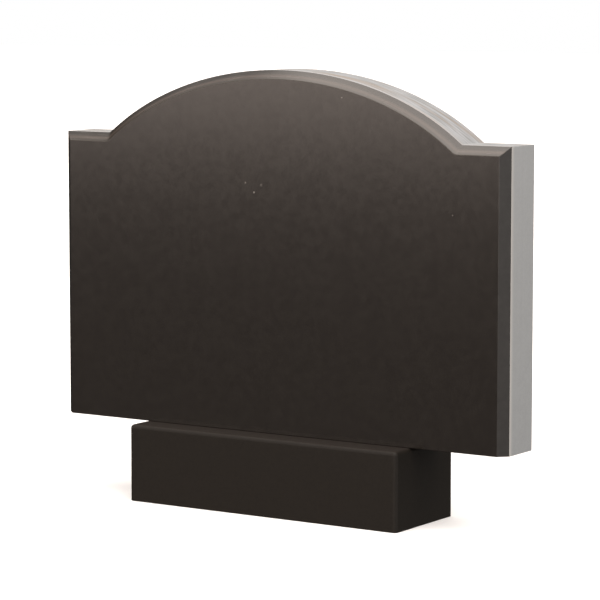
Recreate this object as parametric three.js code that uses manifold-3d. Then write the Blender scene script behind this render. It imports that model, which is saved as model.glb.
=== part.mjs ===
// A wide headstone in dark gabbro: an upright tablet with flat shoulders, an arched head and a chamfer
// round its polished face, standing on a lower and narrower plinth of the same stone, honed.
// Millimetres, +Z up. The polished face looks along -Y. The origin is the centre of the plinth's underside.
import * as THREE from "three";
import { mergeVertices, toCreasedNormals } from "three/addons/utils/BufferGeometryUtils.js";
import Module from "manifold-3d";

// Tablet
const tabletWidth = 1000;
const tabletThickness = 100;
const shoulderHeight = 560; // from the tablet's foot up to its flat shoulders
const shoulderWidth = 104; // each shoulder, from the side to the foot of the arch
const archRise = 128; // from the shoulders up to the crown
const archSemiHeight = 380; // upright half axis of the ellipse that the arch follows
const valleyRadius = 3; // left by the cutter where the arch meets a shoulder
const faceChamfer = 17; // 45 degrees, round the face's sides and head

// Plinth
const plinthWidth = 605;
const plinthHeight = 150;
const plinthLedge = 52.5; // how far the plinth stands out before and behind the tablet
const plinthArris = 5; // eased edges round the plinth's top and down its corners

// The thin bed between the plinth's top and the tablet's foot
const bedJoint = 0.3;

// Flats on the curves, which are shaded smooth below the crease angle
const archFlats = 80;
const valleyFlats = 6;
const creaseAngle = THREE.MathUtils.degToRad(20);

const wasm = await Module();
wasm.setup();

function toSolid(geometry) {
  geometry.deleteAttribute("normal");
  geometry.deleteAttribute("uv");
  const merged = mergeVertices(geometry);
  return new wasm.Manifold(
    new wasm.Mesh({
      numProp: 3,
      vertProperties: merged.attributes.position.array,
      triVerts: merged.index.array,
    }),
  );
}

function toGeometry(solid) {
  const { vertProperties, triVerts } = solid.getMesh();
  const geometry = new THREE.BufferGeometry();
  geometry.setAttribute("position", new THREE.BufferAttribute(vertProperties, 3));
  geometry.setIndex(new THREE.BufferAttribute(triVerts, 1));
  return toCreasedNormals(geometry, creaseAngle);
}

// A slab with the given outline, from z = 0 up to its thickness, with a chamfer round its upper face only.
// What lies below the line y = foot is cut away square.
function chamferedSlab(outline, thickness, chamfer, foot) {
  const extruded = new THREE.ExtrudeGeometry(outline, {
    depth: thickness,
    bevelThickness: chamfer,
    bevelSize: chamfer,
    bevelOffset: -chamfer,
    bevelSegments: 1,
  });
  extruded.translate(0, 0, -chamfer);
  extruded.computeBoundingBox();
  const { min, max } = extruded.boundingBox;

  const kept = new THREE.BoxGeometry(max.x - min.x, max.y - foot, thickness);
  kept.translate((min.x + max.x) / 2, (max.y + foot) / 2, thickness / 2);
  return toGeometry(toSolid(extruded).intersect(toSolid(kept)));
}

// The tablet seen from the front, with its foot along y = 0. It runs on below the foot by more than the
// chamfer's width, so that the chamfers at its sides reach the foot at their full width.
function tabletOutline() {
  const halfWidth = tabletWidth / 2;
  const halfSpan = halfWidth - shoulderWidth;
  const belowFoot = -2 * faceChamfer;
  const centreBelow = archSemiHeight - archRise; // from the shoulders down to the ellipse's centre
  const centreHeight = shoulderHeight - centreBelow;
  const semiWidth = halfSpan / Math.sqrt(1 - (centreBelow / archSemiHeight) ** 2);
  const springAngle = Math.asin(centreBelow / archSemiHeight);

  // The valley is rounded from a point on the shoulder to a point on the arch, each as far from the corner.
  const springSlope = new THREE.Vector2(
    -semiWidth * Math.sin(springAngle),
    archSemiHeight * Math.cos(springAngle),
  );
  const valleyTurn = Math.PI - springSlope.angle();
  const valleyReach = valleyRadius * Math.tan(valleyTurn / 2);
  const archStart = springAngle + valleyReach / springSlope.length();

  const arch = new THREE.EllipseCurve(
    0,
    centreHeight,
    semiWidth,
    archSemiHeight,
    archStart,
    Math.PI - archStart,
  );
  const archPoints = arch.getPoints(archFlats);
  const valley = (side, archEnd) =>
    new THREE.QuadraticBezierCurve(
      new THREE.Vector2(side * (halfSpan + valleyReach), shoulderHeight),
      new THREE.Vector2(side * halfSpan, shoulderHeight),
      archEnd,
    ).getPoints(valleyFlats);

  return new THREE.Shape([
    new THREE.Vector2(-halfWidth, belowFoot),
    new THREE.Vector2(halfWidth, belowFoot),
    new THREE.Vector2(halfWidth, shoulderHeight),
    ...valley(1, archPoints[0]),
    ...archPoints.slice(1, -1),
    ...valley(-1, archPoints[archFlats]).reverse(),
    new THREE.Vector2(-halfWidth, shoulderHeight),
  ]);
}

function makeTablet() {
  const tablet = new THREE.Mesh(
    chamferedSlab(tabletOutline(), tabletThickness, faceChamfer, 0),
    new THREE.MeshStandardMaterial({ color: 0x3a342f, roughness: 0.18, metalness: 0 }),
  );
  tablet.name = "tablet";
  tablet.rotation.x = Math.PI / 2;
  tablet.position.set(0, tabletThickness / 2, plinthHeight + bedJoint);
  return tablet;
}

// The plinth from above, with its corners cut by the width of its arrises.
function plinthOutline(depth) {
  const [x, y] = [plinthWidth / 2, depth / 2];
  return new THREE.Shape([
    new THREE.Vector2(-x + plinthArris, -y),
    new THREE.Vector2(x - plinthArris, -y),
    new THREE.Vector2(x, -y + plinthArris),
    new THREE.Vector2(x, y - plinthArris),
    new THREE.Vector2(x - plinthArris, y),
    new THREE.Vector2(-x + plinthArris, y),
    new THREE.Vector2(-x, y - plinthArris),
    new THREE.Vector2(-x, -y + plinthArris),
  ]);
}

function makePlinth() {
  const depth = tabletThickness + 2 * plinthLedge;
  const plinth = new THREE.Mesh(
    chamferedSlab(plinthOutline(depth), plinthHeight, plinthArris, -depth / 2),
    new THREE.MeshStandardMaterial({ color: 0x2e2924, roughness: 0.5, metalness: 0 }),
  );
  plinth.name = "plinth";
  return plinth;
}

const headstone = new THREE.Group();
headstone.add(makePlinth(), makeTablet());

export default headstone;
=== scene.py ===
from math import atan2, cos, pi, radians, sin, sqrt, tan

import bmesh
import bpy
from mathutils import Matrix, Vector


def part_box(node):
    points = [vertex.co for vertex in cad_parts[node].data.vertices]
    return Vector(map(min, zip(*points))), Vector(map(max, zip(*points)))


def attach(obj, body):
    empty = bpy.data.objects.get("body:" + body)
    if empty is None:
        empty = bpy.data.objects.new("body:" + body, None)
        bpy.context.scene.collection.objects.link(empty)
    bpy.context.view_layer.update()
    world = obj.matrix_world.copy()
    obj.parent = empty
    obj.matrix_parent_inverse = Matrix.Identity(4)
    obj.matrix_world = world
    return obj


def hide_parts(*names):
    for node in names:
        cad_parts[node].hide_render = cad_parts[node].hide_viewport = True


# A wide gabbro headstone: a tablet with a polished face, ground head and sawn sides, on a honed plinth
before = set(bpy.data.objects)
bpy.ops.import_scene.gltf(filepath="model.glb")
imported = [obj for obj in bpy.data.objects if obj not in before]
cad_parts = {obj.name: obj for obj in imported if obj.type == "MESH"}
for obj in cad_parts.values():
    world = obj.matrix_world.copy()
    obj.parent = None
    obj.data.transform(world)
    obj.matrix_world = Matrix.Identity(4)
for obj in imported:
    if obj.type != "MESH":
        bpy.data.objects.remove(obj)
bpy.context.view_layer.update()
scene = bpy.context.scene

mm = 0.001
hair = 0.01 * mm  # closer than this counts as the same place

# How much of a face's normal lies along an axis, to tell faces apart by where they look
barely = 0.1
partly = 0.3
mostly = 0.7
nearlyAll = 0.9
whole = 0.99


# Small helpers

# "#rrggbb" as the linear colour that a shader socket takes
def hexColour(text):
    channels = [int(text[at : at + 2], 16) / 255 for at in (1, 3, 5)]
    linear = [c / 12.92 if c <= 0.04045 else ((c + 0.055) / 1.055) ** 2.4 for c in channels]
    return (*linear, 1.0)


# Adds a node with its settings. Each input is named by its identifier or its label, and takes a value,
# an output, or a node, which stands for its first output in use.
def addNode(tree, kind, inputs=None, **settings):
    node = tree.nodes.new(kind)
    for name, value in settings.items():
        setattr(node, name, value)
    for name, value in (inputs or {}).items():
        socket = next(s for s in node.inputs if name in (s.identifier, s.name))
        if isinstance(value, bpy.types.Node):
            value = next(s for s in value.outputs if s.enabled)
        if isinstance(value, bpy.types.NodeSocket):
            tree.links.new(value, socket)
        else:
            socket.default_value = value
    return node


# Selects what passes the test, in edit mode, and nothing else, and gives the place of one vertex of each
def pick(piece, kind, test):
    bpy.ops.mesh.select_mode(type=kind)
    bpy.ops.mesh.select_all(action="DESELECT")
    mesh = bmesh.from_edit_mesh(piece.data)
    places = []
    for part in {"VERT": mesh.verts, "EDGE": mesh.edges, "FACE": mesh.faces}[kind]:
        if test(part):
            part.select_set(True)
            places.append((part if kind == "VERT" else part.verts[0]).co.copy())
    bmesh.update_edit_mesh(piece.data)
    return places


def near(a, b):
    return abs(a - b) < hair


def isUpright(edge):
    start, end = (vert.co for vert in edge.verts)
    return near(start.x, end.x) and near(start.y, end.y)


def extrude(x=0, y=0, z=0):
    bpy.ops.mesh.extrude_region_move(TRANSFORM_OT_translate={"value": (x, y, z)})


# Closes the modelling of a piece: doubles merged, faces outwards, flats shaded flat and curves smooth
def closeMesh(creaseAngle):
    bpy.ops.mesh.select_all(action="SELECT")
    bpy.ops.mesh.remove_doubles(threshold=hair)
    bpy.ops.mesh.normals_make_consistent(inside=False)
    bpy.ops.object.mode_set(mode="OBJECT")
    bpy.ops.object.shade_smooth_by_angle(angle=creaseAngle)


# Camera and light

cameraLook = {
    "place": (2.946, -4.454, 1.004),  # metres
    "azimuth": 33.25,  # degrees, turned left from +Y
    "pitch": 6.44,  # degrees below the horizon
    "lens": 169.68,  # mm, as the sensor's width
    "sensor": 36,
}


def makeCamera(look):
    bpy.ops.object.camera_add(
        location=look["place"],
        rotation=(radians(90 - look["pitch"]), 0, radians(look["azimuth"])),
    )
    camera = bpy.context.object
    camera.name = "camera"
    camera.data.sensor_width = look["sensor"]
    camera.data.lens = look["lens"]
    scene.camera = camera
    print("camera made")


# The studio is painted on the sky as soft round lights. Each is full within one angle of its direction
# and gone at the other, in degrees. Its edges, where it has any, cut it off level: each is a pair of
# heights in degrees, where it is gone and where it is full.
horizon = (-3.3, -2.3)  # just below level, where the walls meet the floor

studioLook = {
    "backdrop": "#ffffff",
    "dim": 0.02,  # between the lights
    "lights": {
        "rearLamp": {  # high behind the stone: it lights the head, but not the face or the ledge in front
            "towards": (-0.5, 0.5, 0.7),
            "full": 8,
            "gone": 26,
            "strength": 4,
            "colour": "#fffaf6",
            "edges": (),
        },
        "overhead": {
            "towards": (0, -0.04, 1),
            "full": 26,
            "gone": 39,
            "strength": 3.05,
            "colour": "#fff5ed",
            "edges": (),
        },
        "ceiling": {
            "towards": (0, -0.1, 1),
            "full": 20,
            "gone": 75,
            "strength": 0.6,
            "colour": "#fff9f5",
            "edges": (),
        },
        "frontLamp": {  # glints on the arris round the polished face
            "towards": (-0.545, -0.66, 0.5),
            "full": 10,
            "gone": 26,
            "strength": 1.2,
            "colour": "#fff5ed",
            "edges": (),
        },
        "backWall": {
            "towards": (0, -1, 0),
            "full": 20,
            "gone": 60,
            "strength": 3.3,
            "colour": "#ffece0",
            "edges": (horizon, (14, 4)),
        },
        "rightWall": {
            "towards": (0.83, -0.54, 0.15),
            "full": 40,
            "gone": 80,
            "strength": 0.97,
            "colour": "#fffaf6",
            "edges": ((-32, 3),),
        },
        "leftCeiling": {  # mirrored by the chamfer on the left half of the arch
            "towards": (-0.82, 0.1, 0.56),
            "full": 6,
            "gone": 22,
            "strength": 0.2,
            "colour": "#fff9f5",
            "edges": (),
        },
        "window": {  # behind the stone and to its right: it lights what looks to the right
            "towards": (0.88, 0.42, 0.25),
            "full": 15,
            "gone": 45,
            "strength": 0.5,
            "colour": "#fffaf6",
            "edges": (),
        },
        "fill": {  # all round, but not behind and to the left, so that the left chamfer stays dark
            "towards": (0.84, -0.54, 0),
            "full": 100,
            "gone": 160,
            "strength": 0.12,
            "colour": "#fffaf6",
            "edges": (horizon,),
        },
        "floorAhead": {
            "towards": (-0.54, -0.84, -0.1),
            "full": 15,
            "gone": 50,
            "strength": 0.13,
            "colour": "#fff5ee",
            "edges": (),
        },
    },
}


# Adds one light to the others, which are the colour of the sky so far
def addLight(tree, towards, height, light, others):
    aim = Vector(light["towards"]).normalized()
    facing = addNode(
        tree, "ShaderNodeVectorMath", {"Vector": towards, "Vector_001": aim}, operation="DOT_PRODUCT"
    )
    limits = [(facing, cos(radians(light["gone"])), cos(radians(light["full"])))]
    limits += [(height, sin(radians(gone)), sin(radians(full))) for gone, full in light["edges"]]
    strength = light["strength"]
    for value, gone, full in limits:
        strength = addNode(
            tree,
            "ShaderNodeMapRange",
            {"Value": value, "From Min": gone, "From Max": full, "To Max": strength},
            interpolation_type="SMOOTHSTEP",
        )
    return addNode(
        tree,
        "ShaderNodeVectorMath",
        {"Vector": hexColour(light["colour"])[:3], "Vector_001": strength, "Vector_002": others},
        operation="MULTIPLY_ADD",
    )


def makeStudio(look):
    world = bpy.data.worlds.new("studio")
    scene.world = world
    world.use_nodes = True
    tree = world.node_tree
    tree.nodes.clear()
    towards = addNode(tree, "ShaderNodeTexCoord").outputs["Object"]
    height = addNode(tree, "ShaderNodeSeparateXYZ", {"Vector": towards}).outputs["Z"]
    sky = (look["dim"],) * 3
    for light in look["lights"].values():
        sky = addLight(tree, towards, height, light, sky)
    surface = addNode(
        tree,
        "ShaderNodeMixShader",
        {
            "Fac": addNode(tree, "ShaderNodeLightPath").outputs["Is Camera Ray"],
            "Shader": addNode(tree, "ShaderNodeBackground", {"Color": sky}),
            "Shader_001": addNode(tree, "ShaderNodeBackground", {"Color": hexColour(look["backdrop"])}),
        },
    )
    addNode(tree, "ShaderNodeOutputWorld", {"Surface": surface})
    print("studio made:", len(look["lights"]), "lights")


floorLook = {
    "across": 60,  # metres
    "colour": "#fafafa",
    "roughness": 0.9,
    "drop": 0.3 * mm,  # below the plinth's underside, so that the two never share a plane
}


# Pale paper that only the camera sees, so that the stone's tones come from the studio's lights alone
def makeFloor(look):
    bpy.ops.object.select_all(action="DESELECT")
    bpy.ops.mesh.primitive_plane_add(size=look["across"], location=(0, 0, -look["drop"]))
    floor = bpy.context.object
    floor.name = "floor"
    floor.visible_glossy = False
    floor.visible_diffuse = False
    material, tree = newMaterial("palePaper")
    paper = addNode(
        tree,
        "ShaderNodeBsdfDiffuse",
        {"Color": hexColour(look["colour"]), "Roughness": look["roughness"]},
    )
    addNode(tree, "ShaderNodeOutputMaterial", {"Surface": paper})
    floor.data.materials.append(material)
    print("floor made")


# Stone finishes

noiseDetail = 2.0
noiseSpan = {"From Min": 0.35, "From Max": 0.65}  # the middle of a noise's values, for a strong pattern
wideSpan = {"From Min": 0.3, "From Max": 0.7}  # more of them, for a softer one


def newMaterial(name):
    material = bpy.data.materials.new(name)
    material.use_nodes = True
    material.node_tree.nodes.clear()
    return material, material.node_tree


# Noise drawn out into lines of the given width. The stretch is a scale for each axis, and the lines run
# along those where it is small.
def addLines(tree, place, width, stretch, detail=noiseDetail):
    along = addNode(tree, "ShaderNodeMapping", {"Vector": place, "Scale": stretch})
    return addNode(tree, "ShaderNodeTexNoise", {"Vector": along, "Scale": 1 / width, "Detail": detail})


# The crystals of the gabbro, each with a value of its own, and the clouds that they gather in
def addCrystals(tree, place, grain, cloud):
    crystals = addNode(tree, "ShaderNodeTexVoronoi", {"Vector": place, "Scale": 1 / grain})
    tones = addNode(tree, "ShaderNodeSeparateColor", {"Color": crystals.outputs["Color"]})
    clouds = addNode(
        tree, "ShaderNodeTexNoise", {"Vector": place, "Scale": 1 / cloud, "Detail": noiseDetail}
    )
    return tones, clouds


polishedLook = {
    "deep": "#201c19",
    "pale": "#24201c",
    "grain": 4 * mm,  # its crystals are 1 to 3 mm, drawn as coarse as the render can show
    "cloud": 14 * mm,
    "cloudShare": 0.5,  # of the tone, and the rest is the crystals'
    "ior": 1.6,
    "roughness": (0.1345, 0.1445),
    "specular": (0.455, 0.545),  # some crystals reflect more than others
    "bumpStrength": 0.05,
    "bumpDepth": 0.01 * mm,
    "fleckColour": "#8d8883",
    "fleckCore": 0.4,  # the share of a fleck's radius within which it is full
    "flecks": (  # along the face and up it, the radius of each and how much it shows
        (-64.5 * mm, 625.3 * mm, 2.4 * mm, 0.5),
        (-45.1 * mm, 607.6 * mm, 2.4 * mm, 1.0),
        (-29.2 * mm, 622.0 * mm, 3.2 * mm, 0.3),
        (150.6 * mm, 790.5 * mm, 1.8 * mm, 0.7),
        (387.5 * mm, 583.3 * mm, 1.6 * mm, 0.6),
    ),
}


# Gabbro, fine grained and machine polished: near black and glossy, a faint mosaic of dark crystals with
# a few pale flecks of feldspar
def makePolishedGabbro(look, faceY):
    material, tree = newMaterial("polishedGabbro")
    place = addNode(tree, "ShaderNodeTexCoord").outputs["Object"]
    crystals, clouds = addCrystals(tree, place, look["grain"], look["cloud"])
    patches = addNode(tree, "ShaderNodeMapRange", {"Value": clouds, **noiseSpan})
    tone = addNode(
        tree,
        "ShaderNodeMix",
        {"Factor_Float": look["cloudShare"], "A_Float": crystals, "B_Float": patches},
        data_type="FLOAT",
    )
    colour = addNode(
        tree,
        "ShaderNodeMix",
        {"Factor_Float": tone, "A_Color": hexColour(look["deep"]), "B_Color": hexColour(look["pale"])},
        data_type="RGBA",
    )
    for x, z, radius, share in look["flecks"]:
        away = addNode(
            tree,
            "ShaderNodeVectorMath",
            {"Vector": place, "Vector_001": (x, faceY, z)},
            operation="DISTANCE",
        )
        fleck = addNode(
            tree,
            "ShaderNodeMapRange",
            {
                "Value": away,
                "From Min": look["fleckCore"] * radius,
                "From Max": radius,
                "To Min": share,
                "To Max": 0.0,
            },
        )
        colour = addNode(
            tree,
            "ShaderNodeMix",
            {"Factor_Float": fleck, "A_Color": colour, "B_Color": hexColour(look["fleckColour"])},
            data_type="RGBA",
        )
    smooth, dull = look["roughness"]
    roughness = addNode(tree, "ShaderNodeMapRange", {"Value": patches, "To Min": smooth, "To Max": dull})
    faint, bright = look["specular"]
    specular = addNode(tree, "ShaderNodeMapRange", {"Value": tone, "To Min": faint, "To Max": bright})
    bump = addNode(
        tree,
        "ShaderNodeBump",
        {"Height": crystals, "Strength": look["bumpStrength"], "Distance": look["bumpDepth"]},
    )
    surface = addNode(
        tree,
        "ShaderNodeBsdfPrincipled",
        {
            "Base Color": colour,
            "Roughness": roughness,
            "IOR": look["ior"],
            "Specular IOR Level": specular,
            "Normal": bump,
        },
    )
    addNode(tree, "ShaderNodeOutputMaterial", {"Surface": surface})
    return material


satinLook = {
    "deep": "#1d1814",
    "pale": "#37312a",
    # painted highlight: a pale line near the face
    "paintedHighlight": "#453c36",
    "paintedHighlightDepth": 6 * mm,  # behind the face
    "paintedHighlightWidth": 4.5 * mm,
    "line": 4 * mm,  # drawn as coarse as the render can show, like the grain
    "lineShare": 0.25,
    "stretch": (0.05, 1, 0.05),
    "ior": 1.6,
    "roughness": (0.18, 0.28),
    "bumpStrength": 0.1,
    "bumpDepth": 0.1 * mm,
}


# The same stone polished by hand along the head's chamfer: satin, with soft lines that follow the arch.
# It has a painted reflection, paler towards the face and darker towards the back, and a painted highlight
# near the face
def makeSatinGabbro(look, faceY, chamferY):
    material, tree = newMaterial("satinGabbro")
    place = addNode(tree, "ShaderNodeTexCoord").outputs["Object"]
    depth = addNode(tree, "ShaderNodeSeparateXYZ", {"Vector": place}).outputs["Y"]
    lines = addLines(tree, place, look["line"], look["stretch"])
    streaks = addNode(tree, "ShaderNodeMapRange", {"Value": lines, **noiseSpan})
    # Painted reflection: the tone is paler towards the face and darker towards the back
    across = addNode(
        tree, "ShaderNodeMapRange", {"Value": depth, "From Min": chamferY, "From Max": faceY}
    )
    tone = addNode(
        tree,
        "ShaderNodeMix",
        {"Factor_Float": look["lineShare"], "A_Float": across, "B_Float": streaks},
        data_type="FLOAT",
    )
    colour = addNode(
        tree,
        "ShaderNodeMix",
        {"Factor_Float": tone, "A_Color": hexColour(look["deep"]), "B_Color": hexColour(look["pale"])},
        data_type="RGBA",
    )
    # Painted highlight: a pale line a little behind the face, fading out to either side
    paintedHighlightY = faceY + look["paintedHighlightDepth"]
    aside = addNode(tree, "ShaderNodeMath", {"Value": depth, "Value_001": paintedHighlightY}, operation="SUBTRACT")
    away = addNode(tree, "ShaderNodeMath", {"Value": aside}, operation="ABSOLUTE")
    paintedHighlight = addNode(
        tree,
        "ShaderNodeMapRange",
        {"Value": away, "From Max": look["paintedHighlightWidth"], "To Min": 1.0, "To Max": 0.0},
        interpolation_type="SMOOTHSTEP",
    )
    colour = addNode(
        tree,
        "ShaderNodeMix",
        {"Factor_Float": paintedHighlight, "A_Color": colour, "B_Color": hexColour(look["paintedHighlight"])},
        data_type="RGBA",
    )
    smooth, dull = look["roughness"]
    roughness = addNode(tree, "ShaderNodeMapRange", {"Value": streaks, "To Min": smooth, "To Max": dull})
    bump = addNode(
        tree,
        "ShaderNodeBump",
        {"Height": lines, "Strength": look["bumpStrength"], "Distance": look["bumpDepth"]},
    )
    surface = addNode(
        tree,
        "ShaderNodeBsdfPrincipled",
        {"Base Color": colour, "Roughness": roughness, "IOR": look["ior"], "Normal": bump},
    )
    addNode(tree, "ShaderNodeOutputMaterial", {"Surface": surface})
    return material


honedLook = {
    "deep": "#1b1713",
    "pale": "#221e19",
    # painted light: the ledge's top painted paler
    "paintedTopLight": "#28231f",
    "paintedTopLightDepth": 3.5 * mm,  # how far below the ledge the painted light thins out
    "grain": 4 * mm,  # as coarse as the face's
    "cloud": 20 * mm,
    "cloudShare": 0.5,
    "ior": 1.6,
    "roughness": (0.48, 0.55),
    "specular": 0.16,
    "bumpStrength": 0.1,
    "bumpDepth": 0.05 * mm,
}


# The same stone honed and not polished: as dark, but dull, so that its edges look soft, with the ledge
# painted paler, a painted light from above
def makeHonedGabbro(look, ledgeZ):
    material, tree = newMaterial("honedGabbro")
    place = addNode(tree, "ShaderNodeTexCoord").outputs["Object"]
    height = addNode(tree, "ShaderNodeSeparateXYZ", {"Vector": place}).outputs["Z"]
    crystals, clouds = addCrystals(tree, place, look["grain"], look["cloud"])
    tone = addNode(
        tree,
        "ShaderNodeMix",
        {"Factor_Float": look["cloudShare"], "A_Float": crystals, "B_Float": clouds},
        data_type="FLOAT",
    )
    colour = addNode(
        tree,
        "ShaderNodeMix",
        {"Factor_Float": tone, "A_Color": hexColour(look["deep"]), "B_Color": hexColour(look["pale"])},
        data_type="RGBA",
    )
    # Painted light: paler on the ledge, fading out just below it
    paintedTopLight = addNode(
        tree,
        "ShaderNodeMapRange",
        {"Value": height, "From Min": ledgeZ - look["paintedTopLightDepth"], "From Max": ledgeZ},
        interpolation_type="SMOOTHSTEP",
    )
    colour = addNode(
        tree,
        "ShaderNodeMix",
        {"Factor_Float": paintedTopLight, "A_Color": colour, "B_Color": hexColour(look["paintedTopLight"])},
        data_type="RGBA",
    )
    smooth, dull = look["roughness"]
    roughness = addNode(
        tree,
        "ShaderNodeMapRange",
        {"Value": clouds, **wideSpan, "To Min": smooth, "To Max": dull},
    )
    bump = addNode(
        tree,
        "ShaderNodeBump",
        {"Height": crystals, "Strength": look["bumpStrength"], "Distance": look["bumpDepth"]},
    )
    surface = addNode(
        tree,
        "ShaderNodeBsdfPrincipled",
        {
            "Base Color": colour,
            "Roughness": roughness,
            "IOR": look["ior"],
            "Specular IOR Level": look["specular"],
            "Normal": bump,
        },
    )
    addNode(tree, "ShaderNodeOutputMaterial", {"Surface": surface})
    return material


groundLook = {
    "deep": "#797b7b",
    "pale": "#9b9da0",
    "brown": "#837970",
    # painted highlight: a pale band beside the chamfer
    "paintedEdgeHighlight": "#a5a3a3",
    "line": 4 * mm,  # wider than the wheel's own scratches, which would not show
    "lineDetail": 3.0,
    "broad": 12 * mm,
    "broadDetail": 1.0,
    "brownSpan": (0.5, 0.72),  # values of the broad noise where the brown starts and is full
    "stretch": (0.08, 1, 0.08),
    "paintedEdgeHighlightWidth": 12 * mm,
    "paintedEdgeHighlightShare": 0.8,
    "ior": 1.6,
    "roughness": 0.85,
    "specular": 0.2,
    "bumpStrength": 0.3,
    "bumpDepth": 0.3 * mm,
}


# The same stone ground with a coarse wheel: light grey and matt, because the scratched crystals scatter
# the light, with lines along the wheel's path and a few broader brown ones. A pale band beside the
# chamfer is a painted highlight.
def makeGroundGabbro(look, chamferY):
    material, tree = newMaterial("groundGabbro")
    place = addNode(tree, "ShaderNodeTexCoord").outputs["Object"]
    depth = addNode(tree, "ShaderNodeSeparateXYZ", {"Vector": place}).outputs["Y"]
    lines = addLines(tree, place, look["line"], look["stretch"], look["lineDetail"])
    bands = addLines(tree, place, look["broad"], look["stretch"], look["broadDetail"])
    tone = addNode(tree, "ShaderNodeMapRange", {"Value": lines, **noiseSpan})
    start, full = look["brownSpan"]
    brown = addNode(tree, "ShaderNodeMapRange", {"Value": bands, "From Min": start, "From Max": full})
    # Painted highlight: paler beside the chamfer, fading out away from it
    paintedEdgeHighlight = addNode(
        tree,
        "ShaderNodeMapRange",
        {
            "Value": depth,
            "From Min": chamferY,
            "From Max": chamferY + look["paintedEdgeHighlightWidth"],
            "To Min": look["paintedEdgeHighlightShare"],
            "To Max": 0.0,
        },
    )
    colour = addNode(
        tree,
        "ShaderNodeMix",
        {"Factor_Float": tone, "A_Color": hexColour(look["deep"]), "B_Color": hexColour(look["pale"])},
        data_type="RGBA",
    )
    colour = addNode(
        tree,
        "ShaderNodeMix",
        {"Factor_Float": brown, "A_Color": colour, "B_Color": hexColour(look["brown"])},
        data_type="RGBA",
    )
    colour = addNode(
        tree,
        "ShaderNodeMix",
        {"Factor_Float": paintedEdgeHighlight, "A_Color": colour, "B_Color": hexColour(look["paintedEdgeHighlight"])},
        data_type="RGBA",
    )
    bump = addNode(
        tree,
        "ShaderNodeBump",
        {"Height": lines, "Strength": look["bumpStrength"], "Distance": look["bumpDepth"]},
    )
    surface = addNode(
        tree,
        "ShaderNodeBsdfPrincipled",
        {
            "Base Color": colour,
            "Roughness": look["roughness"],
            "IOR": look["ior"],
            "Specular IOR Level": look["specular"],
            "Normal": bump,
        },
    )
    addNode(tree, "ShaderNodeOutputMaterial", {"Surface": surface})
    return material


sawnLook = {
    "deep": "#999b9c",
    "pale": "#abadae",
    # painted highlight: a pale band beside the chamfer
    "paintedEdgeHighlight": "#bab8b5",
    "paintedEdgeHighlightWidth": 11 * mm,
    "paintedShadeHeight": 560 * mm,  # painted shade, from the darker foot up to the shoulders
    "paintedShadeShare": 0.6,
    "grain": 3 * mm,
    "cloud": 30 * mm,
    "cloudShare": 0.3,
    "line": 9 * mm,  # wider than the blade's own ridges, which would not show
    "lineShare": 0.6,
    "backStretch": (0.03, 1, 1),  # the ridges run across the back
    "sideStretch": (0.015, 1, 0.015),  # and up the sides
    "ior": 1.6,
    "roughness": 0.8,
    "specular": 0.25,
    "bumpStrength": 0.2,
    "bumpDepth": 0.2 * mm,
}


# The same stone as the saw left it: mid grey, matt and fine grained, with the faint ridges of the blade.
# It has painted shade, darker towards the foot, and a painted highlight, a paler band beside the chamfer.
def makeSawnGabbro(look, name, stretch, chamferY, footZ):
    material, tree = newMaterial(name)
    place = addNode(tree, "ShaderNodeTexCoord").outputs["Object"]
    axes = addNode(tree, "ShaderNodeSeparateXYZ", {"Vector": place}).outputs
    crystals, clouds = addCrystals(tree, place, look["grain"], look["cloud"])
    lines = addLines(tree, place, look["line"], stretch)
    ridges = addNode(
        tree,
        "ShaderNodeMix",
        {"Factor_Float": look["lineShare"], "A_Float": crystals, "B_Float": lines},
        data_type="FLOAT",
    )
    worn = addNode(
        tree,
        "ShaderNodeMix",
        {"Factor_Float": look["cloudShare"], "A_Float": ridges, "B_Float": clouds},
        data_type="FLOAT",
    )
    worn = addNode(tree, "ShaderNodeMapRange", {"Value": worn, **wideSpan})
    # Painted shade: darker towards the foot
    up = addNode(
        tree,
        "ShaderNodeMapRange",
        {"Value": axes["Z"], "From Min": footZ, "From Max": footZ + look["paintedShadeHeight"]},
    )
    tone = addNode(
        tree,
        "ShaderNodeMix",
        {"Factor_Float": look["paintedShadeShare"], "A_Float": worn, "B_Float": up},
        data_type="FLOAT",
    )
    # Painted highlight: paler beside the chamfer, fading out away from it
    paintedEdgeHighlight = addNode(
        tree,
        "ShaderNodeMapRange",
        {
            "Value": axes["Y"],
            "From Min": chamferY,
            "From Max": chamferY + look["paintedEdgeHighlightWidth"],
            "To Min": 1.0,
            "To Max": 0.0,
        },
        interpolation_type="SMOOTHSTEP",
    )
    colour = addNode(
        tree,
        "ShaderNodeMix",
        {"Factor_Float": tone, "A_Color": hexColour(look["deep"]), "B_Color": hexColour(look["pale"])},
        data_type="RGBA",
    )
    colour = addNode(
        tree,
        "ShaderNodeMix",
        {"Factor_Float": paintedEdgeHighlight, "A_Color": colour, "B_Color": hexColour(look["paintedEdgeHighlight"])},
        data_type="RGBA",
    )
    bump = addNode(
        tree,
        "ShaderNodeBump",
        {"Height": ridges, "Strength": look["bumpStrength"], "Distance": look["bumpDepth"]},
    )
    surface = addNode(
        tree,
        "ShaderNodeBsdfPrincipled",
        {
            "Base Color": colour,
            "Roughness": look["roughness"],
            "IOR": look["ior"],
            "Specular IOR Level": look["specular"],
            "Normal": bump,
        },
    )
    addNode(tree, "ShaderNodeOutputMaterial", {"Surface": surface})
    return material


# Tablet

tabletLook = {
    "shoulderWidth": 104 * mm,  # each shoulder, from the side to the foot of the arch
    "archRise": 128 * mm,
    "archSemiHeight": 380 * mm,  # upright half axis of the ellipse that the arch follows
    "ellipseSteps": 480,
    "valleyRadius": 3 * mm,
    "valleySteps": 6,
    "faceChamfer": 17 * mm,
    "creaseAngle": 20,  # degrees: edges that turn by less are shaded smooth
    "arris": 1 * mm,
    "arrisSteps": 3,
    "arrisLimit": 30,  # degrees: only edges that turn by more are rounded
    "frontDepth": 2 * mm,  # faces this near the front, at the foot, are polished with it
}


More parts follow.
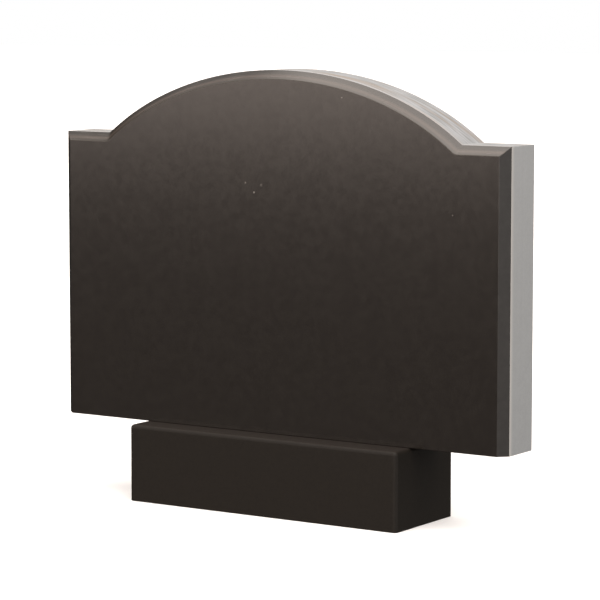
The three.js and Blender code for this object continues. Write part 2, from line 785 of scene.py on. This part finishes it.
def makeTablet(look, finishes):
    low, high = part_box("tablet")
    chamfer = look["faceChamfer"]
    halfSpan = high.x - look["shoulderWidth"]
    shoulder = high.z - look["archRise"]
    springDepth = look["archSemiHeight"] - look["archRise"]  # from the shoulders to the ellipse's centre
    semiWidth = halfSpan / sqrt(1 - (springDepth / look["archSemiHeight"]) ** 2)
    belowFoot = low.z - 2 * chamfer  # so that the chamfers reach the foot at their full width

    # The arch: the top of a flat ellipse, cut level with the shoulders
    bpy.ops.object.select_all(action="DESELECT")
    bpy.ops.mesh.primitive_circle_add(
        vertices=look["ellipseSteps"],
        radius=1,
        fill_type="NGON",
        location=(0, high.y, shoulder - springDepth),
        rotation=(pi / 2, 0, 0),
    )
    tablet = bpy.context.object
    tablet.name = "dressedTablet"
    tablet.data.name = "dressedTablet"
    tablet.scale = (semiWidth, look["archSemiHeight"], 1)
    bpy.ops.object.transform_apply(location=True, rotation=True, scale=True)
    bpy.ops.object.mode_set(mode="EDIT")
    bpy.ops.mesh.select_all(action="SELECT")
    bpy.ops.mesh.bisect(plane_co=(0, 0, shoulder), plane_no=(0, 0, 1), clear_inner=True)

    # The slab below it, down past the foot, and a shoulder on each side
    pick(tablet, "EDGE", lambda edge: all(near(v.co.z, shoulder) for v in edge.verts))
    extrude(z=belowFoot - shoulder)
    for side in (-1, 1):
        (archEnd,) = pick(tablet, "EDGE", lambda edge: isUpright(edge) and edge.verts[0].co.x * side > 0)
        extrude(x=side * high.x - archEnd.x)

    # One flat face, with the valleys rounded
    pick(tablet, "EDGE", lambda edge: not edge.is_boundary)
    bpy.ops.mesh.dissolve_edges(use_verts=False)
    inside = high.x - look["shoulderWidth"] / 2  # leaves the tablet's own corners out
    pick(tablet, "VERT", lambda vert: abs(vert.co.x) < inside and near(vert.co.z, belowFoot))
    bpy.ops.mesh.dissolve_verts()
    pick(tablet, "VERT", lambda vert: abs(vert.co.x) < inside and near(vert.co.z, shoulder))
    springAngle = atan2(look["archSemiHeight"] ** 2 * halfSpan, semiWidth**2 * springDepth)
    bpy.ops.mesh.bevel(
        offset_type="OFFSET",
        offset=look["valleyRadius"] * tan(springAngle / 2),
        segments=look["valleySteps"],
        affect="VERTICES",
    )

    # Thickness, then the chamfer round the face, then the foot cut square
    bpy.ops.mesh.select_mode(type="FACE")
    bpy.ops.mesh.select_all(action="SELECT")
    extrude(y=low.y + chamfer - high.y)
    bpy.ops.mesh.select_all(action="SELECT")
    bpy.ops.mesh.normals_make_consistent(inside=False)
    pick(tablet, "FACE", lambda face: face.normal.y < -whole)
    bpy.ops.mesh.inset(thickness=chamfer, depth=chamfer, use_even_offset=True)
    bpy.ops.mesh.select_all(action="SELECT")
    bpy.ops.mesh.bisect(plane_co=(0, 0, low.z), plane_no=(0, 0, 1), clear_inner=True, use_fill=True)
    closeMesh(radians(look["creaseAngle"]))

    arrises = tablet.modifiers.new("arrises", "BEVEL")
    arrises.limit_method = "ANGLE"
    arrises.angle_limit = radians(look["arrisLimit"])
    arrises.width = look["arris"]
    arrises.segments = look["arrisSteps"]
    arrises.use_clamp_overlap = False
    arrises.harden_normals = True
    bpy.ops.object.modifier_apply(modifier=arrises.name)

    for finish in finishes.values():
        tablet.data.materials.append(finish)
    order = list(finishes)
    for face in tablet.data.polygons:
        isInFront = face.center.y < low.y + look["frontDepth"]
        face.material_index = order.index(tabletFinish(face.normal, isInFront))

    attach(tablet, "root")
    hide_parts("tablet")
    print("tablet made:", len(tablet.data.polygons), "faces")


# Which finish each face of the tablet has, by where it looks
def tabletFinish(normal, isInFront):
    if normal.z > barely and normal.y < -partly:
        return "satin"
    if normal.y < -mostly or (normal.z < -partly and isInFront):
        return "polished"
    if normal.z > partly:
        return "ground"
    return "sawnBack" if normal.y > mostly else "sawnSide"


# Plinth

plinthLook = {
    "arris": 8 * mm,
    "arrisSteps": 8,
    "footArris": 1 * mm,
    "footSteps": 2,
    "creaseAngle": 50,  # degrees: edges that turn by less are shaded smooth
}


def makePlinth(look, honed, sawn):
    low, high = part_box("plinth")
    bpy.ops.object.select_all(action="DESELECT")
    bpy.ops.mesh.primitive_cube_add(size=1, location=(low + high) / 2)
    plinth = bpy.context.object
    plinth.name = "dressedPlinth"
    plinth.data.name = "dressedPlinth"
    plinth.scale = high - low
    bpy.ops.object.transform_apply(location=True, rotation=True, scale=True)
    bpy.ops.object.mode_set(mode="EDIT")
    pick(plinth, "EDGE", lambda edge: any(near(v.co.z, high.z) for v in edge.verts))
    bpy.ops.mesh.bevel(
        offset_type="OFFSET", offset=look["arris"], segments=look["arrisSteps"], affect="EDGES"
    )
    pick(plinth, "EDGE", lambda edge: all(near(v.co.z, low.z) for v in edge.verts))
    bpy.ops.mesh.bevel(
        offset_type="OFFSET", offset=look["footArris"], segments=look["footSteps"], affect="EDGES"
    )
    closeMesh(radians(look["creaseAngle"]))

    flats = plinth.modifiers.new("flats", "WEIGHTED_NORMAL")
    flats.keep_sharp = True
    bpy.ops.object.modifier_apply(modifier=flats.name)

    for material in (honed, sawn):
        plinth.data.materials.append(material)
    for face in plinth.data.polygons:
        face.material_index = 1 if face.normal.z < -nearlyAll else 0

    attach(plinth, "root")
    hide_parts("plinth")
    print("plinth made:", len(plinth.data.polygons), "faces")


scene.view_settings.view_transform = "Standard"
scene.view_settings.look = "None"

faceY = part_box("tablet")[0].y
chamferY = faceY + tabletLook["faceChamfer"]
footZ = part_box("tablet")[0].z
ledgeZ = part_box("plinth")[1].z
sawnBack = makeSawnGabbro(sawnLook, "sawnGabbroBack", sawnLook["backStretch"], chamferY, footZ)
tabletFinishes = {
    "polished": makePolishedGabbro(polishedLook, faceY),
    "satin": makeSatinGabbro(satinLook, faceY, chamferY),
    "ground": makeGroundGabbro(groundLook, chamferY),
    "sawnSide": makeSawnGabbro(sawnLook, "sawnGabbroSide", sawnLook["sideStretch"], chamferY, footZ),
    "sawnBack": sawnBack,
}
makeTablet(tabletLook, tabletFinishes)
makePlinth(plinthLook, makeHonedGabbro(honedLook, ledgeZ), sawnBack)
makeFloor(floorLook)
makeStudio(studioLook)
makeCamera(cameraLook)
